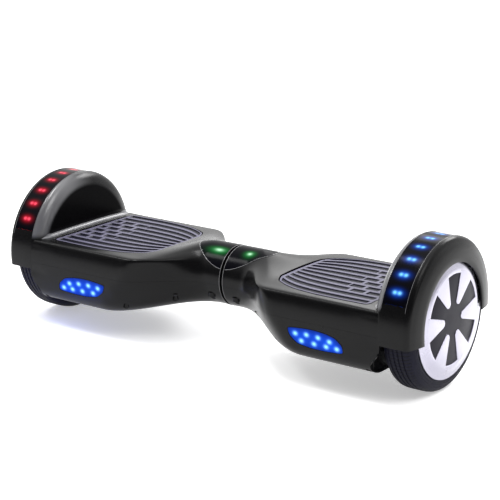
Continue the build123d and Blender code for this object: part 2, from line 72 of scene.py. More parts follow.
# ---- sizes read from the frame (mm) ----
AXLE_Z = box_middle("right_tyre", "z")
TYRE_X = box_middle("right_tyre", "x")
FENDER_R = box_side("right_upper_shell", 1, "y")
FENDER_LOW_Z = box_side("right_upper_shell", 0, "z")
SEAM_X = box_side("right_upper_shell", 0, "x")
PARTING_Z = box_side("right_lower_shell", 1, "z")
FLOOR_Z = box_side("right_lower_shell", 0, "z")
PAD_TOP_Z = box_side("right_foot_pad", 1, "z")
PAD_INNER_X = box_side("right_foot_pad", 0, "x")
PAD_OUTER_X = box_side("right_foot_pad", 1, "x")
STRIP_X = (box_side("right_fender_lens", 0, "x"), box_side("right_fender_lens", 1, "x"))
SWITCH_SPOT = (-box_middle("power_switch", "x"), box_middle("power_switch", "z"))
SOCKET_SPOT = (-box_middle("charge_socket", "x"), box_middle("charge_socket", "z"))

# ---- body (mm) ----
NECK_R = 37.2
WALL = 3.0
PARTING_GAP = 0.14
CREASE_SOFTNESS = 2.6
DECK_Z = 110.3
BODY_END_X = 254.4
LOW_WALL_Z = 62.0
WELL_X = 244.0
WELL_R = 88.0
SCREW_SPOTS = ((18.0, 29.0, 68.0), (62.0, 45.0, 62.0), (112.0, 78.0, 60.0), (236.0, 82.0, 62.0))
SCREW_POCKET_R = 3.6

# ---- fender: its inner shoulder is a quarter ellipse (mm) ----
SHOULDER_X = 254.0
SHOULDER_WIDE = 13.0
SHOULDER_R = 72.0
SHOULDER_HIGH = 21.0

# ---- foot pad (mm) ----
TRAY_TOP_Z = 103.0
PAD_CORNER = 5.0
PAD_GROOVE = 2.0
PAD_RIBS = 10
RIB_DEPTH = 1.35
BRICK_X = 172.0
BRICK_LENGTH = 21.0
BRICK_BRIDGE = 2.8

# ---- lights (mm and degrees) ----
STRIP_ANGLES = (21.0, 159.0)
LED_STEP = 13.1
LED_FIRST = 29.8
LED_COUNT = 10
HEADLIGHT_CORNERS = (
    (134, 70), (152, 72), (168, 72.8), (185, 71.5), (198, 68.5), (207, 61), (208, 52),
    (185, 50.4), (165, 50.4), (147, 53), (137, 61),
)
HEADLIGHT_LEDS = (
    (145, 64.5), (160, 65.5), (175.5, 65), (190.5, 63),
    (153, 57), (170, 56.5), (186, 56.3), (200, 56.3),
)

# ---- hub cap (mm) ----
ARM_R = 52.4

SIDES = {"right": 1.0, "left": -1.0}


# ---------------------------------------------------------------- mesh helpers
def make_object(name, verts, faces, material, hand):
    """Mesh object from points in millimetres; hand -1 mirrors it to the -X half."""
    mesh = bpy.data.meshes.new(name)
    placed = [(hand * x * MM, y * MM, z * MM) for x, y, z in verts]
    if hand < 0:
        faces = [tuple(reversed(face)) for face in faces]
    mesh.from_pydata(placed, [], faces)
    obj = bpy.data.objects.new(name, mesh)
    bpy.context.scene.collection.objects.link(obj)
    obj.data.materials.append(material)
    recalculate(obj)
    shade_smooth(obj)
    return obj


def recalculate(obj):
    """Makes the faces of a mesh agree on which side is out."""
    work = bmesh.new()
    work.from_mesh(obj.data)
    bmesh.ops.recalc_face_normals(work, faces=work.faces)
    work.to_mesh(obj.data)
    work.free()


def shade_smooth(obj):
    """Shades a mesh smooth, apart from its corners."""
    obj.data.polygons.foreach_set("use_smooth", [True] * len(obj.data.polygons))
    work = bmesh.new()
    work.from_mesh(obj.data)
    limit = math.radians(32.0)
    for edge in work.edges:
        sharp = len(edge.link_faces) == 2 and edge.calc_face_angle(0.0) > limit
        edge.smooth = not sharp
    work.to_mesh(obj.data)
    work.free()
    obj.data.update()


def grid_faces(rows, columns, wrap_rows=False, wrap_columns=False):
    """Quads between neighbouring points of a grid stored row by row."""
    faces = []
    for i in range(rows if wrap_rows else rows - 1):
        for j in range(columns if wrap_columns else columns - 1):
            a = i * columns + j
            b = i * columns + (j + 1) % columns
            c = ((i + 1) % rows) * columns + (j + 1) % columns
            d = ((i + 1) % rows) * columns + j
            faces.append((a, b, c, d))
    return faces


def apply_modifier(obj, kind, **settings):
    """Works a modifier into the mesh at once."""
    modifier = obj.modifiers.new(kind.lower(), kind)
    for key, value in settings.items():
        setattr(modifier, key, value)
    bpy.context.view_layer.update()
    baked = bpy.data.meshes.new_from_object(obj.evaluated_get(bpy.context.evaluated_depsgraph_get()))
    obj.modifiers.clear()
    obj.data = baked


def cut(obj, cutters):
    """Subtracts closed meshes from obj one after another and deletes them."""
    for cutter in cutters:
        apply_modifier(obj, "BOOLEAN", operation="DIFFERENCE", object=cutter, solver="EXACT")
        bpy.data.objects.remove(cutter)
    shade_smooth(obj)


def join(name, parts):
    """One object from several, keeping the first one's material."""
    work = bmesh.new()
    for part in parts:
        work.from_mesh(part.data)
    mesh = bpy.data.meshes.new(name)
    work.to_mesh(mesh)
    work.free()
    obj = bpy.data.objects.new(name, mesh)
    bpy.context.scene.collection.objects.link(obj)
    mesh.materials.append(parts[0].data.materials[0])
    for part in parts:
        bpy.data.objects.remove(part)
    shade_smooth(obj)
    return obj


def spin_profile(name, profile, material, hand, steps):
    """Full turn of a closed profile of (x, radius) points about the axle."""
    verts = []
    for i in range(steps):
        angle = 2 * math.pi * i / steps
        verts += [(x, -r * math.cos(angle), AXLE_Z + r * math.sin(angle)) for x, r in profile]
    faces = grid_faces(steps, len(profile), wrap_rows=True, wrap_columns=True)
    return make_object(name, verts, faces, material, hand)


def arc_points(centre, radius, start, end, steps):
    """Points of an arc in a profile plane, angles in degrees."""
    turns = np.radians(np.linspace(start, end, steps))
    return [(centre[0] + radius * math.cos(t), centre[1] + radius * math.sin(t)) for t in turns]


def tube_along(name, path, radius, material, hand, closed=False):
    """Round bead that follows a list of points."""
    points = [Vector(p) for p in path]
    sides = 8
    verts = []
    count = len(points)
    for i, point in enumerate(points):
        ahead = points[(i + 1) % count] if closed or i + 1 < count else point
        behind = points[i - 1] if closed or i > 0 else point
        along = (ahead - behind).normalized()
        across = along.cross(Vector((0.3, 0.1, 1.0))).normalized()
        up = across.cross(along)
        for k in range(sides):
            turn = 2 * math.pi * k / sides
            verts.append(tuple(point + radius * (math.cos(turn) * across + math.sin(turn) * up)))
    faces = grid_faces(count, sides, wrap_rows=closed, wrap_columns=True)
    if not closed:
        faces.append(tuple(range(sides)))
        faces.append(tuple(reversed(range((count - 1) * sides, count * sides))))
    return make_object(name, verts, faces, material, hand)


def prism(name, outline, low, high, material, hand, axis="z"):
    """Closed prism of an outline between two stations along an axis."""
    count = len(outline)
    place = {
        "x": lambda a, b, level: (level, a, b),
        "y": lambda a, b, level: (a, level, b),
        "z": lambda a, b, level: (a, b, level),
    }[axis]
    verts = [place(a, b, level) for level in (low, high) for a, b in outline]
    faces = grid_faces(2, count, wrap_columns=True)
    faces += [tuple(range(count)), tuple(range(count, 2 * count))]
    return make_object(name, verts, faces, material, hand)


def cylinder(name, radius, low, high, place, material, hand, axis="z", steps=32):
    """Closed cylinder along an axis; place gives its other two coordinates."""
    outline = []
    for i in range(steps):
        turn = 2 * math.pi * i / steps
        outline.append((place[0] + radius * math.cos(turn), place[1] + radius * math.sin(turn)))
    return prism(name, outline, low, high, material, hand, axis)


def axle_rod(name, radius, x0, x1, material, hand):
    """Closed cylinder about the axle."""
    return cylinder(name, radius, x0, x1, (0.0, AXLE_Z), material, hand, "x", 96)


# ---------------------------------------------------------------- body form
def ease(x, start, end):
    """Smooth step from 0 at start to 1 at end."""
    t = np.clip((x - start) / (end - start), 0.0, 1.0)
    return t * t * (3.0 - 2.0 * t)


def half_keys(x):
    """Key points of the half cross-section; every second one is the middle of a curved edge."""
    crease_y = 88.5 + 1.3 * ease(x, 205, 246)
    body = (
        (0.0, DECK_Z, 0.0, ease(x, 34, 98)),
        (45.0, DECK_Z - 0.3, 28.0, ease(x, 32, 98)),
        (crease_y, DECK_Z - 1.8, 56.0, ease(x, 28, 100)),
        (92.2, 94.0, 73.0, ease(x, 26, 108)),
        (92.8, 78.0, 90.0, ease(x, 24, 116)),
        (92.3, 63.0, 107.5, ease(x, 20, 128)),
        (90.5, 48.0, 125.0, ease(x, 18, 140)),
        (83.0, 36.6, 138.0, ease(x, 16, 146)),
        (66.0, FLOOR_Z, 151.0, ease(x, 14, 150)),
        (33.0, FLOOR_Z, 165.5, ease(x, 14, 150)),
        (0.0, FLOOR_Z, 180.0, ease(x, 14, 150)),
    )
    keys = []
    for y, z, angle, share in body:
        turn = math.radians(angle)
        neck_y = NECK_R * math.sin(turn)
        neck_z = AXLE_Z + NECK_R * math.cos(turn)
        keys.append((neck_y + (y - neck_y) * share, neck_z + (z - neck_z) * share))
    return np.array(keys)


def half_outline(x):
    """Arc lengths, y and z from crown to floor with the creases rounded, and each curve's end."""
    keys = half_keys(x)
    t = np.linspace(0, 1, 60)[:, None]
    pieces = []
    marks = [0.0]
    for first in range(0, len(keys) - 1, 2):
        a, m, b = keys[first:first + 3]
        handle = 2 * m - (a + b) / 2
        curve = (1 - t) ** 2 * a + 2 * t * (1 - t) * handle + t ** 2 * b
        pieces.append(curve if first == 0 else curve[1:])
        marks.append(marks[-1] + np.linalg.norm(np.diff(curve, axis=0), axis=1).sum())
    line = np.vstack(pieces)
    mirrored_line = line * np.array([-1.0, 1.0])
    whole = np.vstack([mirrored_line[:0:-1], line, mirrored_line[-2::-1]])
    lengths = np.concatenate([[0], np.cumsum(np.linalg.norm(np.diff(whole, axis=0), axis=1))])
    step = 0.6
    even = np.arange(0, lengths[-1], step)
    y = np.interp(even, lengths, whole[:, 0])
    z = np.interp(even, lengths, whole[:, 1])
    reach = int(4 * CREASE_SOFTNESS / step)
    kernel = np.exp(-0.5 * (np.arange(-reach, reach + 1) * step / CREASE_SOFTNESS) ** 2)
    kernel /= kernel.sum()
    y = np.convolve(y, kernel, mode="same")
    z = np.convolve(z, kernel, mode="same")
    start = marks[-1]
    keep = (even >= start) & (even <= 2 * start)
    y = y[keep]
    z = z[keep]
    flush = ease(x, 222, 250) * ease(z, 62, 72) * (1.0 - ease(z, 96, 101))
    on_fender = np.sqrt(FENDER_R ** 2 - np.clip(z - AXLE_Z, -30, 30) ** 2) - 0.1
    return even[keep] - start, y + (on_fender - y) * flush, z, marks


def outline_between(x, low, high, count):
    """Points of the half outline between two arc lengths, crowded towards both ends."""
    s, y, z, _ = half_outline(x)
    share = 0.5 - 0.5 * np.cos(np.pi * np.linspace(0, 1, count))
    share = 0.5 * share + 0.5 * np.linspace(0, 1, count)
    at = low + (high - low) * share
    return np.interp(at, s, y), np.interp(at, s, z)


def height_mark(x, height):
    """Arc length at which the side of the half outline passes a height."""
    s, _, z, _ = half_outline(x)
    order = np.argsort(z)
    return float(np.interp(height, z[order], s[order]))


def surface_z(x, y):
    """Height of the top surface over a plan point."""
    s, ys, zs, _ = half_outline(x)
    top = s <= height_mark(x, AXLE_Z + 2)
    return float(np.interp(abs(y), ys[top], zs[top]))


def underside_z(x, y):
    """Height of the lower surface over a plan point."""
    s, ys, zs, _ = half_outline(x)
    under = s > height_mark(x, LOW_WALL_Z)
    return float(np.interp(-abs(y), -ys[under], zs[under], left=LOW_WALL_Z))


def wall_y(x, z):
    """Half width of the body at a height on its side wall."""
    s, ys, zs, marks = half_outline(min(x, 248.0))
    side = (s >= marks[1]) & (s <= marks[4])
    return float(np.interp(-z, -zs[side], ys[side]))


# closer together over the neck, wider apart under the deck
STATIONS = np.concatenate([np.linspace(SEAM_X + 0.4, 130, 96), np.linspace(132, BODY_END_X, 60)])


def outside_normals(obj):
    """Turns the faces of an open skin away from the body's middle line, which runs along X."""
    outward = 0.0
    for face in obj.data.polygons:
        radial = Vector((0, face.center.y, face.center.z - AXLE_Z * MM))
        outward += face.normal.dot(radial) * face.area
    if outward < 0:
        obj.data.flip_normals()


def body_skin(name, lengths_at, counts, material, hand):
    """Skin from wall to wall between the arc lengths given at a station, thickened inwards."""
    verts = []
    for x in STATIONS:
        marks = lengths_at(x)
        half = []
        for low, high, count in zip(marks, marks[1:], counts):
            y, z = outline_between(x, low, high, count)
            half += list(zip(y, z))[1 if half else 0:]
        if marks[0] == 0.0:
            half.reverse()
        verts += [(x, -y, z) for y, z in half]
        verts += [(x, y, z) for y, z in reversed(half[:-1])]
    columns = 2 * len(half) - 1
    obj = make_object(name, verts, grid_faces(len(STATIONS), columns), material, hand)
    outside_normals(obj)
    apply_modifier(obj, "SOLIDIFY", thickness=WALL * MM, offset=-1.0, use_even_offset=False)
    return obj


def upper_lengths(x):
    """Arc lengths of the crown, the deck's crease and the top of the parting line."""
    crease = half_outline(x)[3][1]
    return [0.0, crease, height_mark(x, PARTING_Z + PARTING_GAP / 2)]


def lower_lengths(x):
    """Arc lengths of the bottom of the parting line, the two lower creases and the middle of the floor."""
    marks = half_outline(x)[3]
    return [height_mark(x, PARTING_Z - PARTING_GAP / 2), marks[3], marks[4], marks[5]]


# ---------------------------------------------------------------- materials
def connect(tree, node, values):
    """Links inputs of a node to sockets, or sets them to values."""
    for key, value in values.items():
        if isinstance(value, bpy.types.NodeSocket):
            tree.links.new(value, node.inputs[key])
        else:
            node.inputs[key].default_value = value


def add(tree, kind, values, **settings):
    """New node with its inputs connected."""
    node = tree.nodes.new(kind)
    for key, value in settings.items():
        setattr(node, key, value)
    connect(tree, node, values)
    return node


def calc(tree, operation, *values, clamp=False):
    """Result socket of a math node."""
    node = add(tree, "ShaderNodeMath", dict(enumerate(values)), operation=operation, use_clamp=clamp)
    return node.outputs[0]


def product(tree, *values):
    """Result socket of values multiplied together."""
    total = values[0]
    for value in values[1:]:
        total = calc(tree, "MULTIPLY", total, value)
    return total


def length_of(tree, a, b):
    """Length of a flat vector with the two given parts."""
    squares = calc(tree, "ADD", product(tree, a, a), product(tree, b, b))
    return calc(tree, "SQRT", squares)


def noise(tree, place, scale, detail=3.0):
    """Result socket of an even noise."""
    return add(tree, "ShaderNodeTexNoise", {"Vector": place, "Scale": scale, "Detail": detail}).outputs["Fac"]


def ramp(tree, value, low, high, out_low=0.0, out_high=1.0):
    """Smooth step of a value from one range to another."""
    node = add(
        tree, "ShaderNodeMapRange",
        {"Value": value, "From Min": low, "From Max": high, "To Min": out_low, "To Max": out_high},
        interpolation_type="SMOOTHSTEP",
    )
    return node.outputs["Result"]


def mix(tree, share, first, second):
    """Result socket of a blend of two colours."""
    return add(tree, "ShaderNodeMix", {0: share, 6: first, 7: second}, data_type="RGBA").outputs[2]


def rgb(hex_code):
    """Linear colour of an sRGB hex code."""
    parts = [int(hex_code[i:i + 2], 16) / 255 for i in (0, 2, 4)]
    return tuple(c / 12.92 if c <= 0.04045 else ((c + 0.055) / 1.055) ** 2.4 for c in parts) + (1.0,)


def in_millimetres(tree, place):
    """Sockets for |x|, y and z in millimetres."""
    split = add(tree, "ShaderNodeSeparateXYZ", {"Vector": place})
    x, y, z = (product(tree, split.outputs[i], 1000.0) for i in range(3))
    return calc(tree, "ABSOLUTE", x), y, z


def set_gloss(tree, shader, value, spread, low):
    """Roughness from low to low + spread as a value goes from 0 to 1."""
    connect(tree, shader, {"Roughness": calc(tree, "MULTIPLY_ADD", value, spread, low)})


def set_bump(tree, shader, height, strength, distance):
    """Bump of a height, in metres at full strength; gives its node back."""
    node = add(tree, "ShaderNodeBump", {"Height": height, "Strength": strength, "Distance": distance})
    connect(tree, shader, {"Normal": node.outputs["Normal"]})
    return node


def start_material(name):
    """New material with its node tree, its shader and the socket of places on the object."""
    material = bpy.data.materials.new(name)
    material.use_nodes = True
    tree = material.node_tree
    place = add(tree, "ShaderNodeTexCoord", {}).outputs["Object"]
    return material, tree, tree.nodes["Principled BSDF"], place


def surface(name, colour, roughness, grain, metallic=0.0, bump=0.05, spread=0.08, tint=0.12,
            coat=0.0, stretch=None, edge=0.0, specular=0.5):
    """Principled finish with uneven gloss, a fine grain, slight colour drift and worn patches."""
    material, tree, shader, place = start_material(name)
    fine_place = place
    if stretch:
        fine_place = add(tree, "ShaderNodeMapping", {"Vector": place, "Scale": stretch}).outputs["Vector"]
    broad = noise(tree, place, 22.0)
    smear = noise(tree, place, 95.0, 5.0)
    fine = noise(tree, fine_place, grain, 4.0)
    dark = tuple(c * (1 - tint) for c in colour[:3]) + (1.0,)
    light = tuple(min(1.0, c * (1 + tint)) for c in colour[:3]) + (1.0,)
    blend = calc(tree, "MULTIPLY_ADD", smear, spread, roughness - spread / 2)
    worn = ramp(tree, noise(tree, place, 40.0, 6.0), 0.58, 0.7, 0.0, spread * 0.6)
    connect(tree, shader, {
        "Base Color": mix(tree, broad, dark, light),
        "Roughness": calc(tree, "ADD", blend, worn, clamp=True),
        "Metallic": metallic,
        "Specular IOR Level": specular,
        "Coat Weight": coat,
        "Coat Roughness": 0.08,
    })
    bumped = set_bump(tree, shader, fine, bump, 0.0004)
    if edge:
        rounded = add(tree, "ShaderNodeBevel", {"Radius": edge}, samples=6)
        connect(tree, bumped, {"Normal": rounded.outputs["Normal"]})
    return material


def shell_material():
    """Glossy black moulding, dull on the flat wall facing the deck, with a painted highlight that makes the
    fender's shoulder paler.
    """
    material = surface("shell_plastic", rgb("09090a"), 0.23, grain=700, bump=0.012, spread=0.06)
    tree = material.node_tree
    shader = tree.nodes["Principled BSDF"]
    x, y, z = in_millimetres(tree, add(tree, "ShaderNodeTexCoord", {}).outputs["Object"])
    reach = length_of(tree, y, calc(tree, "SUBTRACT", z, AXLE_Z))
    flat = product(
        tree, ramp(tree, reach, 81.0, 75.0), ramp(tree, x, 240.4, 240.9),
        ramp(tree, z, 113.0, 119.0), ramp(tree, x, 262.0, 256.0),
    )
    # painted highlight: on the fender's inner shoulder the base colour is lifted towards grey, besides the
    # raised specular
    shoulder = product(
        tree, ramp(tree, x, SHOULDER_X, SHOULDER_X - 1.5), ramp(tree, reach, 75.0, 82.0),
        ramp(tree, y, 20.0, -40.0), ramp(tree, z, 108.0, 116.0),
    )
    shine = calc(tree, "MULTIPLY_ADD", flat, -0.12, 0.13)
    black = shader.inputs["Base Color"].links[0].from_socket
    connect(tree, shader, {
        "Specular IOR Level": calc(tree, "MULTIPLY_ADD", shoulder, 0.6, shine),
        "Base Color": mix(tree, product(tree, shoulder, 0.45), black, rgb("7c7c80")),
    })
    return material


def spot(tree, across, along, x, y, wide, tall):
    """Soft oval blob of light around a point, from 0 to 1."""
    a = calc(tree, "DIVIDE", calc(tree, "SUBTRACT", across, x), wide)
    b = calc(tree, "DIVIDE", calc(tree, "SUBTRACT", along, y), tall)
    far = calc(tree, "ADD", product(tree, a, a), product(tree, b, b))
    return calc(tree, "EXPONENT", product(tree, far, -1.0))


def light_up(tree, shader, halo, core, halo_colour, core_colour, halo_power, core_power):
    """Emission of a wide coloured halo with a paler hot core."""
    glow = product(tree, halo, halo_power)
    heat = product(tree, core, core_power)
    total = calc(tree, "ADD", glow, heat)
    share = calc(tree, "DIVIDE", heat, calc(tree, "MAXIMUM", total, 0.0001), clamp=True)
    colour = mix(tree, share, halo_colour, core_colour)
    connect(tree, shader, {"Emission Color": colour, "Emission Strength": total})


def smoked_lens(name, base="05050a"):
    """Glossy smoked plastic that lights can be added to."""
    material, tree, shader, place = start_material(name)
    connect(tree, shader, {"Base Color": rgb(base), "Specular IOR Level": 0.03})
    set_gloss(tree, shader, noise(tree, place, 60.0, 5.0), 0.12, 0.1)
    set_bump(tree, shader, noise(tree, place, 300.0), 0.03, 0.0003)
    return material, tree, shader, place


def strip_lens_material(name, halo_colour, core_colour):
    """Fender strip: ten windows with two chips each, spaced along the arc."""
    material, tree, shader, place = smoked_lens(name)
    x, y, z = in_millimetres(tree, place)
    forward = product(tree, y, -1.0)
    angle = calc(tree, "ARCTAN2", calc(tree, "SUBTRACT", z, AXLE_Z), forward)
    turn = product(tree, angle, 180 / math.pi)
    step = calc(tree, "DIVIDE", calc(tree, "SUBTRACT", turn, LED_FIRST), LED_STEP)
    nearest = calc(tree, "ROUND", step)
    step_length = LED_STEP * math.pi / 180 * FENDER_R
    away = product(tree, calc(tree, "SUBTRACT", step, nearest), step_length)
    after_first = calc(tree, "GREATER_THAN", nearest, -0.5)
    before_last = calc(tree, "LESS_THAN", nearest, LED_COUNT - 0.5)
    inside = product(tree, after_first, before_last)
    middle = sum(STRIP_X) / 2
    halo = product(tree, spot(tree, x, away, middle, 0.0, 7.2, 4.2), inside)
    cores = [spot(tree, x, away, middle + shift, 0.0, 2.3, 1.9) for shift in (-3.0, 3.0)]
    core = product(tree, calc(tree, "ADD", *cores), inside)
    light_up(tree, shader, halo, core, halo_colour, core_colour, 0.9, 1.1)
    return material


def headlight_material():
    """Blue tinted bar with eight chips behind it."""
    material, tree, shader, place = smoked_lens("headlight_lens", "071a6a")
    x, _, z = in_millimetres(tree, place)
    halo = 0.0
    core = 0.0
    for led_x, led_z in HEADLIGHT_LEDS:
        halo = calc(tree, "ADD", halo, spot(tree, x, z, led_x, led_z, 7.5, 5.2))
        core = calc(tree, "ADD", core, spot(tree, x, z, led_x, led_z, 2.6, 2.2))
    halo = calc(tree, "ADD", halo, 0.22)
    light_up(tree, shader, halo, core, rgb("0c5cff"), rgb("a0ecff"), 0.55, 1.4)
    return material


def indicator_material(name, centre, size):
    """Smoked window with a green light showing through."""
    material, tree, shader, place = smoked_lens(name)
    x, y, _ = in_millimetres(tree, place)
    halo = spot(tree, x, y, centre[0], centre[1], size[0], size[1])
    core = spot(tree, x, y, centre[0], centre[1], size[0] * 0.42, size[1] * 0.42)
    light_up(tree, shader, halo, core, rgb("1fae4a"), rgb("dcffe8"), 0.75, 0.9)
    return material


def pad_material():
    """Ribbed rubber: pale lavender rib tops, darkening to navy black down in the grooves as painted shade."""
    material, tree, shader, place = start_material("pad_rubber")
    z = in_millimetres(tree, place)[2]
    # painted shade: the colour goes from the lavender rib tops to navy black as the surface drops into the
    # grooves
    height = ramp(tree, z, PAD_TOP_Z - 0.4, PAD_TOP_Z - 0.06)
    patchy = noise(tree, place, 70.0, 5.0)
    top = mix(tree, patchy, rgb("514f62"), rgb("6a687a"))
    colour = mix(tree, height, rgb("0a0918"), top)
    connect(tree, shader, {"Base Color": colour, "Specular IOR Level": 0.14})
    set_gloss(tree, shader, patchy, 0.2, 0.38)
    set_bump(tree, shader, noise(tree, place, 1400.0, 4.0), 0.25, 0.0002)
    return material


def tyre_material():
    """Matte rubber with fine cross cuts round the tread, coloured a little darker inside as painted shade."""
    material, tree, shader, place = start_material("tyre_rubber")
    x, y, z = in_millimetres(tree, place)
    up = calc(tree, "SUBTRACT", z, AXLE_Z)
    turn = calc(tree, "ARCTAN2", up, y)
    radius = length_of(tree, y, up)
    off_middle = calc(tree, "ABSOLUTE", calc(tree, "SUBTRACT", x, TYRE_X))
    slant = product(tree, off_middle, 0.16)
    wave = calc(tree, "SINE", calc(tree, "ADD", product(tree, turn, 110.0), slant))
    cuts = product(tree, ramp(tree, wave, 0.55, 0.85), ramp(tree, radius, 81.0, 83.0))
    dust = noise(tree, place, 60.0, 6.0)
    rubber = mix(tree, dust, rgb("0a0a14"), rgb("121222"))
    # painted shade: the cuts are coloured darker than the rubber round them
    colour = mix(tree, cuts, rubber, rgb("08080e"))
    connect(tree, shader, {"Base Color": colour, "Specular IOR Level": 0.09})
    set_gloss(tree, shader, dust, 0.2, 0.42)
    fine = product(tree, noise(tree, place, 1500.0, 4.0), 0.2)
    set_bump(tree, shader, calc(tree, "SUBTRACT", fine, cuts), 0.7, 0.0006)
    return material


def board_material():
    """Green solder mask with traces and pale pads."""
    material, tree, shader, place = start_material("circuit_board")
    bricks = add(tree, "ShaderNodeTexBrick", {"Vector": place, "Scale": 160.0, "Mortar Size": 0.03})
    connect(tree, shader, {"Base Color": mix(tree, bricks.outputs["Fac"], rgb("0f4a24"), rgb("2e7a46"))})
    set_gloss(tree, shader, noise(tree, place, 300.0), 0.2, 0.3)
    set_bump(tree, shader, bricks.outputs["Fac"], 0.3, 0.0002)
    return material


def led_material(name, colour):
    """Tape of coloured chips with an uneven glow."""
    material, tree, shader, place = start_material(name)
    glow = calc(tree, "MULTIPLY_ADD", noise(tree, place, 400.0), 0.8, 1.6)
    connect(tree, shader, {
        "Base Color": rgb("101014"), "Emission Color": colour, "Emission Strength": glow,
    })
    set_gloss(tree, shader, noise(tree, place, 90.0), 0.2, 0.2)
    return material


RED_HALO = rgb("f01238")
BLUE_HALO = rgb("0f58f0")
PLAIN_FINISHES = {
    # painted highlight: grey glossy finish for the deck's rear fillet and the strip's edges, standing for the
    # highlights on them
    "shell_sheen": ("5c5c60", 0.26, dict(grain=700, bump=0.02, specular=0.7)),
    # painted highlight: grey finish for the seam lip and the window lips, standing for the highlights on them
    "shell_edge": ("6e6e70", 0.24, dict(grain=700, bump=0.02)),
    "cast_aluminium": ("a9abad", 0.5, dict(metallic=1.0, grain=1200, bump=0.35, edge=0.0006)),
    "zinc_steel": ("b8b8b2", 0.34, dict(metallic=1.0, grain=500, bump=0.1, edge=0.0003)),
    "bearing_steel": ("b4b5b8", 0.24, dict(metallic=1.0, grain=300, bump=0.06, stretch=(1, 12, 12))),
    "wound_iron": ("8a5a34", 0.42, dict(metallic=0.8, grain=400, bump=0.3, stretch=(9, 1, 1))),
    "magnet_nickel": ("c4c4c0", 0.22, dict(metallic=1.0, grain=500, edge=0.0003)),
    "rim_aluminium": (
        "c3c4c8", 0.27, dict(metallic=1.0, grain=300, bump=0.08, stretch=(8, 1, 1), edge=0.0005),
    ),
    "cap_silver": ("a2a0ae", 0.24, dict(metallic=0.95, grain=1100, tint=0.04, coat=0.3)),
    "cap_insert": ("14121d", 0.34, dict(grain=900, bump=0.06, specular=0.08)),
    "black_steel": ("26262a", 0.36, dict(metallic=0.9, grain=600, bump=0.15, edge=0.0003)),
    "cable_sleeve": ("1a1a1a", 0.5, dict(grain=800, bump=0.4)),
    "bush_nylon": ("d8d5c8", 0.42, dict(grain=600, bump=0.1, edge=0.0004)),
    "battery_wrap": ("1f5fae", 0.28, dict(grain=120, bump=0.25, coat=0.3, edge=0.0008)),
    "switch_plastic": ("17171a", 0.38, dict(grain=1300, bump=0.2, edge=0.0005)),
    "button_steel": (
        "b4b5b9", 0.28, dict(metallic=1.0, grain=260, bump=0.1, stretch=(14, 1, 1), edge=0.0006),
    ),
    "cap_rubber": ("1d1d20", 0.55, dict(grain=1500, bump=0.35, edge=0.0005)),
}
FINISHES = {
    "shell_plastic": shell_material(),
    "pad_rubber": pad_material(),
    "circuit_board": board_material(),
    "tyre_rubber": tyre_material(),
    "red_leds": led_material("red_leds", RED_HALO),
    "blue_leds": led_material("blue_leds", BLUE_HALO),
    "headlight_lens": headlight_material(),
    "strip_lens_left": strip_lens_material("strip_lens_left", rgb("c80f28"), rgb("ff5a72")),
    "strip_lens_right": strip_lens_material("strip_lens_right", BLUE_HALO, rgb("8ceaff")),
    "indicator_left": indicator_material("indicator_left", (16.0, -17.5), (12.0, 4.6)),
    "indicator_right": indicator_material("indicator_right", (27.0, -15.0), (6.5, 4.8)),
}
for finish, (hex_code, roughness, settings) in PLAIN_FINISHES.items():
    FINISHES[finish] = surface(finish, rgb(hex_code), roughness, **settings)
SHELL = FINISHES["shell_plastic"]
EDGE_HIGHLIGHT_FINISH = FINISHES["shell_edge"]


def claim(obj, body, slot, *nodes):
    """Puts a finished piece on its body in place of the CAD nodes it stands for."""
    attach(obj, body)
    if nodes:
        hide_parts(*nodes)


# ---------------------------------------------------------------- outlines
def spline_through(points, count):
    """Evenly spaced points of a smooth curve through the given ones."""
    points = np.array(points, float)
    spans = np.concatenate([[0], np.cumsum(np.linalg.norm(np.diff(points, axis=0), axis=1))])
    slopes = np.gradient(points, spans, axis=0)
    at = np.linspace(0, spans[-1], count)
    out = []
    for value in at:
        i = min(int(np.searchsorted(spans, value, side="right")) - 1, len(spans) - 2)
        h = spans[i + 1] - spans[i]
        t = (value - spans[i]) / h
        out.append(
            (2 * t ** 3 - 3 * t ** 2 + 1) * points[i] + (t ** 3 - 2 * t ** 2 + t) * h * slopes[i]
            + (3 * t ** 2 - 2 * t ** 3) * points[i + 1] + (t ** 3 - t ** 2) * h * slopes[i + 1]
        )
    return np.array(out)


PAD_SIDE = spline_through(
    [(93, 50), (96.5, 54), (103, 59), (124, 69.5), (152, 74.7), (190, 75.8), (223, 75)], 60,
)
def pad_half_width(x):
    """Half width of the pad at a station."""
    wide = np.interp(x, PAD_SIDE[:, 0], PAD_SIDE[:, 1])
    over = max(0.0, x - (PAD_OUTER_X - PAD_CORNER))
    return wide - (PAD_CORNER - math.sqrt(max(0.0, PAD_CORNER ** 2 - over ** 2)))


def grown(points, amount):
    """Closed outline moved outwards by an amount."""
    points = np.array(points, float)
    ahead = np.roll(points, -1, axis=0)
    area = 0.5 * np.sum(points[:, 0] * ahead[:, 1] - ahead[:, 0] * points[:, 1])
    along = np.roll(points, -1, axis=0) - np.roll(points, 1, axis=0)
    along /= np.linalg.norm(along, axis=1)[:, None] + 1e-9
    normal = np.stack([along[:, 1], -along[:, 0]], axis=1) * np.sign(area)
    return [tuple(p) for p in points + amount * normal]


def pad_inner_x(v):
    """Inner end of the pad across its width, with the two corners eased back."""
    return PAD_INNER_X + 2.0 * v * v + 7.0 * max(0.0, (abs(v) - 0.8) / 0.2) ** 2


def pad_outline(grow):
    """Outline of the pad, or of its recess when it is grown."""
    xs = np.concatenate([np.linspace(pad_inner_x(1.0), 222, 44), np.linspace(224, PAD_OUTER_X, 8)])
    side = [(x, pad_half_width(x)) for x in xs]
    inner = [(pad_inner_x(v), v * pad_half_width(pad_inner_x(v))) for v in np.linspace(-1, 1, 42)[1:-1]]
    outline = inner + side + [(x, -y) for x, y in reversed(side)]
    return grown(outline, grow)


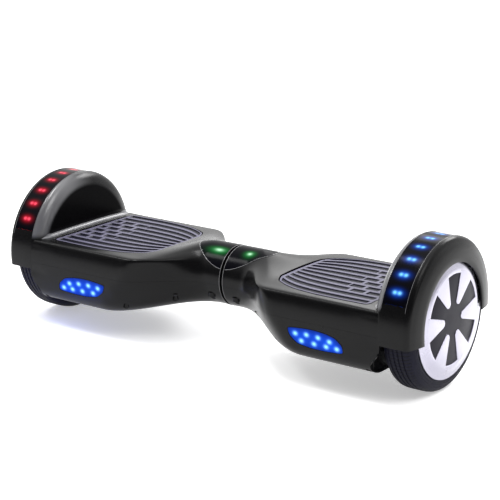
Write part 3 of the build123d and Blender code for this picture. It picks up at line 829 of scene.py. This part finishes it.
# ---------------------------------------------------------------- foot pads
def groove_depth(v, x):
    """Depth of the rib pattern at width share v and station x, 0 on a rib and 1 in a groove."""
    lane = v * 0.98 * PAD_RIBS / 2 + PAD_RIBS / 2
    across = abs(lane - math.floor(lane) - 0.5) * 2.0
    deep = 1.0 - float(ease(across, 0.56, 0.68))
    start = pad_inner_x(v) + 3.2
    ends = float(ease(x, start, start + 1.6)) * (1.0 - float(ease(x, 223.5, 225.0)))
    edge = 1.0 - float(ease(abs(v), 0.965, 0.975))
    deep *= ends * edge
    if abs(v) < 0.62 and x > BRICK_X:
        shift = BRICK_LENGTH / 2 if math.floor(lane) % 2 else 0.0
        along = (x - BRICK_X + shift) % BRICK_LENGTH
        deep *= float(ease(abs(along - BRICK_LENGTH / 2), BRICK_BRIDGE - 1.0, BRICK_BRIDGE))
    return deep


def foot_pad(side):
    """Rubber pad with fanned ribs, bridged in bricks near the wheel, and a rolled edge."""
    rows = 190
    columns = 331
    verts = []
    for u in np.linspace(0, 1, rows):
        for v in np.linspace(-1, 1, columns):
            inner = pad_inner_x(v)
            x = inner + u * (PAD_OUTER_X - inner)
            verts.append((x, v * pad_half_width(x), PAD_TOP_Z - RIB_DEPTH * groove_depth(v, x)))
    faces = grid_faces(rows, columns)
    border = [i * columns for i in range(rows)]
    border += [(rows - 1) * columns + j for j in range(1, columns)]
    border += [i * columns + columns - 1 for i in range(rows - 2, -1, -1)]
    border += [j for j in range(columns - 2, 0, -1)]
    edge = [verts[i][:2] for i in border]
    previous = border
    for out, down in ((0.35, 0.12), (0.7, 0.5), (0.85, 1.1), (0.85, 4.0)):
        moved = grown(edge, out)
        ring = list(range(len(verts), len(verts) + len(border)))
        verts += [(x, y, PAD_TOP_Z - down) for x, y in moved]
        for i in range(len(border)):
            j = (i + 1) % len(border)
            faces.append((previous[i], previous[j], ring[j], ring[i]))
        previous = ring
    faces.append(tuple(previous))
    pad = make_object(f"{side}_ribbed_pad", verts, faces, FINISHES["pad_rubber"], SIDES[side])
    claim(pad, f"{side}_pad", "pad_rubber", f"{side}_foot_pad")


# ---------------------------------------------------------------- shells
def fender(side):
    """Round wheel arch with its inner wall, folded lip and cut lower ends."""
    lip_r = 64.6
    wall_x = SHOULDER_X - SHOULDER_WIDE
    outer = [(wall_x, 18.0), (wall_x, 60.0)]
    for t in np.linspace(0, math.pi / 2, 22):
        outer.append((SHOULDER_X - SHOULDER_WIDE * math.cos(t), SHOULDER_R + SHOULDER_HIGH * math.sin(t)))
    outer += arc_points((284.0, 86.2), 6.8, 90, 12, 10)
    outer += [(292.0, 83.5), (293.2, 78.6), (294.3, 71.5), (295.0, lip_r + 1.2), (294.6, lip_r)]
    inner = [(293.0, lip_r), (292.6, lip_r + 0.6), (291.7, 72.0), (290.4, 79.0), (289.0, 84.6)]
    inner += arc_points((283.6, 84.9), 4.6, 20, 90, 8)
    inner += arc_points((255.0, 78.3), 11.0, 90, 180, 12)
    inner += [(244.0, 60.0), (244.0, 18.0)]
    hand = SIDES[side]
    ring = spin_profile("fender_ring", outer + inner, SHELL, hand, 220)
    cutters = []
    # what lies below the front end, the rear end and the front of the inner wall
    for x0, x1, y0, y1, low, high in (
        (252, 310, -120, 10, -40, FENDER_LOW_Z),
        (229, 311, 0, 120, -45, PARTING_Z),
        (230, 253, -120, 5, -42, PARTING_Z - 1),
    ):
        corners = [(x0, y0), (x1, y0), (x1, y1), (x0, y1)]
        cutters.append(prism("low_end", corners, low, high, SHELL, hand))
    cutters.append(strip_band("groove", STRIP_X[0], STRIP_X[1], 91.2, 97.0, SHELL, hand))
    cut(ring, cutters)
    return ring


def strip_band(name, x0, x1, inner_r, outer_r, material, hand, trim=0.0):
    """Curved band over the fender between the strip's two end angles."""
    steps = 90
    verts = []
    low = STRIP_ANGLES[0] + trim
    high = STRIP_ANGLES[1] - trim
    for turn in np.radians(np.linspace(low, high, steps)):
        for x, r in ((x0, inner_r), (x0, outer_r), (x1, outer_r), (x1, inner_r)):
            verts.append((x, -r * math.cos(turn), AXLE_Z + r * math.sin(turn)))
    faces = grid_faces(steps, 4, wrap_columns=True)
    faces += [(0, 1, 2, 3), tuple(4 * (steps - 1) + i for i in (3, 2, 1, 0))]
    return make_object(name, verts, faces, material, hand)


def junction(y):
    """Station and height at which the deck meets the fender's rounded inner wall."""
    x = SHOULDER_X - SHOULDER_WIDE
    for _ in range(6):
        z = surface_z(min(x, 249.0), y)
        reach = math.hypot(y, z - AXLE_Z)
        rise = min(1.0, max(0.0, (reach - SHOULDER_R) / SHOULDER_HIGH))
        x = SHOULDER_X - SHOULDER_WIDE * math.sqrt(1.0 - rise ** 2)
    return x, z


def root_fillet(side):
    """Concave fillet between the deck and the round wall of the fender, smaller at both ends, in a grey
    finish that paints the highlight along the junction.
    """
    verts = []
    steps = 9
    ys = np.linspace(-82, 90.5, 71)
    for y in ys:
        x, z = junction(y)
        radius = 4.5 * (1.0 - 0.6 * float(ease(y, 80, 91))) * (0.15 + 0.85 * float(ease(y, -82, -72)))
        for turn in np.linspace(0, math.pi / 2, steps):
            px = x - radius + radius * math.sin(turn) + 0.12
            pz = z + radius - radius * math.cos(turn) + 0.05
            verts.append((px, y, pz))
    faces = grid_faces(len(ys), steps)
    # painted highlight: the fillet's grey finish stands for the bright line along the junction
    fillet = make_object(f"{side}_root_fillet", verts, faces, FINISHES["shell_sheen"], SIDES[side])
    claim(fillet, f"{side}_half", "shell_plastic")


def upper_shell(side):
    """Deck, neck top and fender in one, with the tray that the pad lies in."""
    hand = SIDES[side]
    skin = body_skin("upper_skin", upper_lengths, (26, 20), SHELL, hand)
    recess = prism("recess", pad_outline(PAD_GROOVE), 90, 130, SHELL, hand)
    well = axle_rod("well", WELL_R, WELL_X, 262.0, SHELL, hand)
    cut(skin, [recess, well])
    tray = prism("tray", pad_outline(PAD_GROOVE + 1.5), TRAY_TOP_Z - 2.4, TRAY_TOP_Z, SHELL, hand)
    wall = tray_wall(hand)
    root_fillet(side)
    shell = join(f"{side}_top_shell", [skin, fender(side), tray, wall, seam_plate(hand, -8.0, 188.0)])
    claim(shell, f"{side}_half", "shell_plastic", f"{side}_upper_shell")


def tray_wall(hand):
    """Upright rim round the pad's tray, from its floor to just under the deck surface."""
    inner = pad_outline(PAD_GROOVE)
    outer = pad_outline(PAD_GROOVE + 1.5)
    verts = []
    for ring in (inner, outer):
        verts += [(x, y, TRAY_TOP_Z - 1.0) for x, y in ring]
    for ring in (outer, inner):
        verts += [(x, y, surface_z(x, y) - 0.35) for x, y in ring]
    faces = grid_faces(4, len(inner), wrap_rows=True, wrap_columns=True)
    return make_object("tray_wall", verts, faces, SHELL, hand)


def seam_plate(hand, start, end):
    """End wall at the centre seam, between two angles round the pivot, with a lip that closes the gap."""
    turns = np.radians(np.linspace(start, end, 60))
    verts = []
    for turn in turns:
        for x, r in ((0.3, 26.0), (0.3, 33.5), (2.4, 33.5), (2.4, 36.4), (4.4, 36.4), (4.4, 26.0)):
            verts.append((x, r * math.cos(turn), AXLE_Z + r * math.sin(turn)))
    return make_object("seam_plate", verts, grid_faces(len(turns), 6, wrap_columns=True), SHELL, hand)


def end_sweep(hand):
    """Cutter that draws the lower end of the walls in towards the axle wall."""
    profile = [(252.2, 62.0), (251.6, 58.5), (249.0, 54.5), (245.0, 50.5), (242.2, 46.0), (241.6, 41.0)]
    profile += [(241.6, 10.0), (270.0, 10.0), (270.0, 62.0)]
    return prism("end_sweep", profile, -120, 120, SHELL, hand, axis="y")


def headlight_outline(grow=0.0):
    """Outline of the light bar with rounded corners, as (x, z) points."""
    rounded = []
    corners = np.array(HEADLIGHT_CORNERS, float)
    count = len(corners)
    for i in range(count):
        before, here, after = corners[i - 1], corners[i], corners[(i + 1) % count]
        for t in (0.0, 0.33, 0.67, 1.0):
            a = here + (before - here) * 0.28 * (1 - t)
            b = here + (after - here) * 0.28 * t
            rounded.append(a * (1 - t) + b * t)
    return grown(rounded, grow)


def lower_shell(side):
    """Underside and walls, with the holes for light bar, screws, switch and charging socket."""
    hand = SIDES[side]
    skin = body_skin("lower_skin", lower_lengths, (18, 14, 16), SHELL, hand)
    cutters = [
        prism("lamp_window", headlight_outline(0.35), -110, -86, SHELL, hand, axis="y"),
        axle_rod("well", WELL_R, WELL_X, 262.0, SHELL, hand),
        end_sweep(hand),
    ]
    for x, y, seat in SCREW_SPOTS:
        for front in (-1, 1):
            cutters.append(cylinder("pocket", SCREW_POCKET_R, -5, seat, (x, front * y), SHELL, hand))
    if side == "left":
        holes = ((10.7, 92, SWITCH_SPOT), (8.6, 80, SWITCH_SPOT), (12.4, 80, SOCKET_SPOT))
        for radius, start, place in holes:
            cutters.append(cylinder("rear_hole", radius, start, 105, place, SHELL, hand, "y", 48))
    cut(skin, cutters)
    parts = [skin, axle_wall(hand), seam_plate(hand, 188.2, 351.8)]
    for x, y, seat in SCREW_SPOTS:
        for front in (-1, 1):
            parts.append(screw_sleeve(x, front * y, seat, hand))
    shell = join(f"{side}_bottom_shell", parts)
    claim(shell, f"{side}_half", "shell_plastic", f"{side}_lower_shell")


def screw_sleeve(x, y, seat, hand):
    """Hollow column that a shell screw sits in."""
    steps = 24
    verts = []
    outer_r = SCREW_POCKET_R + 1.8
    for on_top, r in ((False, SCREW_POCKET_R), (True, SCREW_POCKET_R), (True, outer_r), (False, outer_r)):
        for i in range(steps):
            turn = 2 * math.pi * i / steps
            px = x + r * math.cos(turn)
            py = y + r * math.sin(turn)
            verts.append((px, py, seat if on_top else min(seat, underside_z(px, py) + 1.0)))
    return make_object("sleeve", verts, grid_faces(4, steps, wrap_rows=True, wrap_columns=True), SHELL, hand)


def axle_wall(hand):
    """Wall between the body and the wheel below the parting line, pierced by the axle."""
    s, ys, zs, marks = half_outline(240.0)
    keep = (zs < PARTING_Z) & (s <= marks[-1])
    half = [(y - 0.5 if y > 70 else y, max(z, FLOOR_Z + 0.5)) for y, z in zip(ys[keep][::6], zs[keep][::6])]
    outline = [(-y, z) for y, z in half] + [(y, z) for y, z in reversed(half)]
    wall = prism("axle_wall", outline, 238.2, 241.2, SHELL, hand, axis="x")
    cut(wall, [axle_rod("bore", 14.0, 230, 250, SHELL, hand)])
    return wall


# ---------------------------------------------------------------- trim and windows
def strip_lens(side):
    """Light strip over the fender, between two thin edges painted grey as highlights."""
    hand = SIDES[side]
    band = strip_band(f"{side}_strip_lens", STRIP_X[0] + 0.35, STRIP_X[1] - 0.35, 91.3, 92.85,
                      FINISHES[f"strip_lens_{side}"], hand, trim=0.02)
    claim(band, f"{side}_half", "strip_lens", f"{side}_fender_lens")
    edges = []
    for x in (STRIP_X[0] - 0.1, STRIP_X[1] + 0.1):
        turns = np.radians(np.linspace(STRIP_ANGLES[0] - 4, STRIP_ANGLES[1] + 4, 80))
        path = [(x, -92.95 * math.cos(t), AXLE_Z + 92.95 * math.sin(t)) for t in turns]
        # painted highlight: the edges are grey to show the highlights along the strip's borders
        edges.append(tube_along("edge", path, 0.22, FINISHES["shell_sheen"], hand))
    claim(join(f"{side}_strip_edges", edges), f"{side}_half", "shell_plastic")


def seam_lip(side):
    """Thin lip round the waist at the centre seam, grey as a painted highlight."""
    turns = np.linspace(0, 2 * math.pi, 121)[:-1]
    path = [(2.3, 37.0 * math.cos(t), AXLE_Z + 37.0 * math.sin(t)) for t in turns]
    # painted highlight: the lip's grey finish stands for the light line round the seam
    lip = tube_along(f"{side}_seam_lip", path, 0.32, EDGE_HIGHLIGHT_FINISH, SIDES[side], closed=True)
    claim(lip, f"{side}_half", "shell_plastic")


def indicator(side):
    """Smoked arrow window that follows the neck, with a fine lip round it that is grey as a painted
    highlight.
    """
    hand = SIDES[side]
    rows = 40
    columns = 61
    verts = []
    for i in range(rows):
        x = 3.4 + (52.6 - 3.4) * i / (rows - 1)
        wide = 34.0 * math.sqrt(max(0.0004, 1.0 - (x / 53.0) ** 2))
        s, ys, zs, _ = half_outline(x)
        top = s < height_mark(x, AXLE_Z + 4)
        for y in wide * np.linspace(-1, 1, columns):
            z = float(np.interp(abs(y), ys[top], zs[top]))
            verts.append((x, y, z + 0.25))
    faces = grid_faces(rows, columns)
    window = make_object(f"{side}_arrow_window", verts, faces, FINISHES[f"indicator_{side}"], hand)
    outside_normals(window)
    apply_modifier(window, "SOLIDIFY", thickness=1.2 * MM, offset=-1.0)
    shade_smooth(window)
    claim(window, f"{side}_half", "indicator_lens", f"{side}_indicator_lens")
    rim = [verts[i * columns] for i in range(rows)]
    rim += [verts[(rows - 1) * columns + j] for j in range(1, columns)]
    rim += [verts[i * columns + columns - 1] for i in range(rows - 2, -1, -1)]
    # painted highlight: the lip's grey finish stands for the light line round the window
    lip = tube_along(f"{side}_window_lip", rim, 0.32, EDGE_HIGHLIGHT_FINISH, hand)
    claim(lip, f"{side}_half", "shell_plastic")


def headlight(side):
    """Blue light bar that follows the front wall, in a thin black bezel."""
    hand = SIDES[side]
    verts = []
    for depth, grow in ((0.0, -0.7), (0.5, 0.0), (3.0, 0.0)):
        for x, z in headlight_outline(grow):
            verts.append((x, -(wall_y(x, z) + 0.1 - depth), z))
    count = len(verts) // 3
    faces = grid_faces(3, count, wrap_columns=True)
    faces += [tuple(range(count)), tuple(range(2 * count, 3 * count))]
    lens = make_object(f"{side}_light_bar", verts, faces, FINISHES["headlight_lens"], hand)
    claim(lens, f"{side}_half", "headlight_lens", f"{side}_headlight_lens")
    path = [(x, -(wall_y(x, z) + 0.1), z) for x, z in headlight_outline(0.25)]
    bezel = tube_along(f"{side}_light_bezel", path, 0.35, SHELL, hand, closed=True)
    claim(bezel, f"{side}_half", "shell_plastic")


# ---------------------------------------------------------------- wheels
def tyre(side):
    """Solid rubber tyre with moulded sidewall rings and a grooved tread."""
    half = [(0.0, 84.9), (1.6, 84.9), (2.0, 84.0), (3.4, 84.0), (3.8, 84.9), (7.4, 84.9)]
    half += [(7.8, 83.9), (9.2, 83.9), (9.6, 84.8), (12.6, 84.3), (14.9, 83.2), (16.8, 81.4)]
    half += [(18.1, 79.3), (18.6, 78.2), (18.3, 77.6), (19.0, 76.8), (19.4, 74.4), (19.1, 73.9)]
    half += [(19.7, 73.2), (19.8, 70.6), (19.3, 69.9), (18.6, 67.8), (17.2, 66.0)]
    right = [(TYRE_X + x, r) for x, r in half]
    left = [(TYRE_X - 0.98 * x, r) for x, r in reversed(half[1:])]
    ring = spin_profile(f"{side}_wheel_tyre", left + right, FINISHES["tyre_rubber"], SIDES[side], 200)
    claim(ring, f"{side}_wheel", "tyre_rubber", f"{side}_tyre")


def hub_cap(side):
    """Bright dish with six round-nosed teeth, over a dark six-armed insert."""
    hand = SIDES[side]
    profile = [(290.8, 46.0), (292.2, 46.0), (292.4, ARM_R - 0.2), (293.5, ARM_R + 0.1)]
    profile += [(293.8, ARM_R + 0.9), (293.7, 55.2), (293.2, 57.4), (292.2, 60.2), (291.0, 63.4)]
    profile += [(290.3, 66.2), (290.2, 68.4), (289.9, 69.4), (289.2, 69.5), (287.6, 66.0)]
    profile += [(287.4, 58.0), (289.5, 52.0)]
    parts = [spin_profile("dish", profile, FINISHES["cap_silver"], hand, 160)]
    nose = arc_points((0.0, 23.0), 5.0, 195, 345, 14)
    rim = [(56.0 * math.sin(t), 56.0 * math.cos(t)) for t in np.radians(np.linspace(15.2, -15.2, 10))]
    for index in range(6):
        turn = math.radians(30 + 60 * index)
        outline = []
        for a, b in nose + rim:
            y = a * math.cos(turn) + b * math.sin(turn)
            z = AXLE_Z - a * math.sin(turn) + b * math.cos(turn)
            outline.append((y, z))
        tooth = prism("tooth", outline, 291.6, 293.8, FINISHES["cap_silver"], hand, axis="x")
        apply_modifier(tooth, "BEVEL", width=0.55 * MM, segments=3, limit_method="ANGLE")
        parts.append(tooth)
    claim(join(f"{side}_cap_dish", parts), f"{side}_wheel", "cap_silver", f"{side}_hub_cap")
    arms = [(291.0, 0.0), (293.1, 0.0), (293.1, 13.0), (292.9, 20.0)]
    arms += [(292.9, 51.8), (292.6, 52.5), (291.0, 52.5)]
    insert = spin_profile(f"{side}_cap_star", arms, FINISHES["cap_insert"], hand, 96)
    claim(insert, f"{side}_wheel", "cap_insert", f"{side}_hub_cap_inserts")


# ---------------------------------------------------------------- frame nodes that stay
def dress_frame_nodes():
    """Gives every CAD node its finish."""
    for obj in frame["nodes"].values():
        slot = obj.data.materials[0].name.split(".")[0]
        if slot in FINISHES:
            obj.data.materials[0] = FINISHES[slot]
        smooth = obj.modifiers.new("smooth_edges", "WEIGHTED_NORMAL")
        smooth.keep_sharp = True


# ---------------------------------------------------------------- studio
def paper_floor():
    """White paper under the board."""
    size = 14.0
    level = -0.0004
    corners = [(x, y, level) for x, y in ((-size, -size), (size, -size), (size, size), (-size, size))]
    mesh = bpy.data.meshes.new("floor")
    mesh.from_pydata(corners, [], [(0, 1, 2, 3)])
    floor = bpy.data.objects.new("floor", mesh)
    bpy.context.scene.collection.objects.link(floor)
    material, tree, shader, place = start_material("floor_paper")
    connect(tree, shader, {
        "Base Color": mix(tree, noise(tree, place, 3.0), rgb("f6f6f6"), rgb("fbfbfb")),
        "Roughness": 0.75,
        "Specular IOR Level": 0.1,
        "Emission Color": (1, 1, 1, 1),
        "Emission Strength": 0.42,
    })
    mesh.materials.append(material)


def world():
    """White surroundings, bright above and behind the board and dim in front."""
    studio = bpy.data.worlds.new("studio")
    bpy.context.scene.world = studio
    studio.use_nodes = True
    tree = studio.node_tree
    direction = add(tree, "ShaderNodeTexCoord", {}).outputs["Generated"]
    split = add(tree, "ShaderNodeSeparateXYZ", {"Vector": direction})
    behind = product(tree, split.outputs[0], -0.45)
    behind = calc(tree, "MULTIPLY_ADD", split.outputs[1], 0.8, behind)
    lift = calc(tree, "MULTIPLY_ADD", split.outputs[2], 0.6, behind)
    level = ramp(tree, lift, -0.25, 0.45, 0.12, 1.45)
    connect(tree, tree.nodes["Background"], {"Strength": level, "Color": (1, 1, 1, 1)})


def soft_light(name, place, target, size, power):
    """Rectangular lamp that faces a target."""
    data = bpy.data.lights.new(name, "AREA")
    data.shape = "RECTANGLE"
    data.size, data.size_y = size
    data.energy = power
    lamp = bpy.data.objects.new(name, data)
    lamp.location = place
    aim = Vector(target) - Vector(place)
    lamp.rotation_euler = aim.to_track_quat("-Z", "Y").to_euler()
    bpy.context.scene.collection.objects.link(lamp)


def headlight_spill():
    """Blue glow that the left light bar throws on the floor."""
    data = bpy.data.lights.new("headlight_spill", "POINT")
    data.color = (0.05, 0.15, 1.0)
    data.energy = 0.12
    data.shadow_soft_size = 0.02
    lamp = bpy.data.objects.new("headlight_spill", data)
    lamp.location = (-0.225, -0.13, 0.03)
    lamp.visible_glossy = False
    bpy.context.scene.collection.objects.link(lamp)


def lights():
    """Soft lamps that draw the highlights along the creases, the neck and the shoulders."""
    soft_light("overhead", (0.1, 0.3, 1.9), (0, 0, 0.1), (2.2, 1.2), 7.0)
    soft_light("crease_key", (-1.25, -0.55, 1.75), (0, 0, 0.1), (0.4, 0.4), 9.0)
    soft_light("back_card", (0.35, 1.75, 1.4), (-0.2, 0, 0.12), (0.9, 0.7), 22.0)
    soft_light("right_card", (2.0, -0.1, 0.8), (0.2, 0, 0.1), (0.5, 1.0), 2.0)
    soft_light("shoulder_card", (1.2, -0.3, 1.5), (-0.25, 0, 0.15), (0.8, 0.8), 9.0)
    soft_light("waist_key", (-0.42, -0.25, 1.85), (-0.1, -0.05, 0.1), (0.9, 0.22), 10.0)
    soft_light("deck_card", (-0.55, 1.6, 1.2), (0.08, 0, 0.11), (0.9, 0.7), 6.0)
    headlight_spill()


def camera():
    """Camera to the right of the front, a little above the deck."""
    azimuth = math.radians(35.68)
    elevation = math.radians(15.59)
    roll = math.radians(0.14)
    distance = 2.0285
    target = Vector((0.0163, 0.0, 0.11905))
    level = math.cos(elevation)
    back = Vector((math.sin(azimuth) * level, -math.cos(azimuth) * level, math.sin(elevation)))
    right = Vector((math.cos(azimuth), math.sin(azimuth), 0.0))
    up = back.cross(right)
    right_rolled = math.cos(roll) * right + math.sin(roll) * up
    up_rolled = back.cross(right_rolled)
    turn = Matrix((right_rolled, up_rolled, back)).transposed()
    data = bpy.data.cameras.new("photo_camera")
    data.lens = 122.3
    data.sensor_width = 36.0
    data.clip_end = 60.0
    obj = bpy.data.objects.new("photo_camera", data)
    obj.matrix_world = Matrix.Translation(target + distance * back) @ turn.to_4x4()
    bpy.context.scene.collection.objects.link(obj)
    bpy.context.scene.camera = obj


def plain_colours():
    """Shows colours as they are, without a film look."""
    bpy.context.scene.view_settings.view_transform = "Standard"
    bpy.context.scene.view_settings.look = "None"


camera()
dress_frame_nodes()
for side in SIDES:
    upper_shell(side)
    lower_shell(side)
    foot_pad(side)
    strip_lens(side)
    seam_lip(side)
    indicator(side)
    headlight(side)
    tyre(side)
    hub_cap(side)
paper_floor()
world()
lights()
plain_colours()
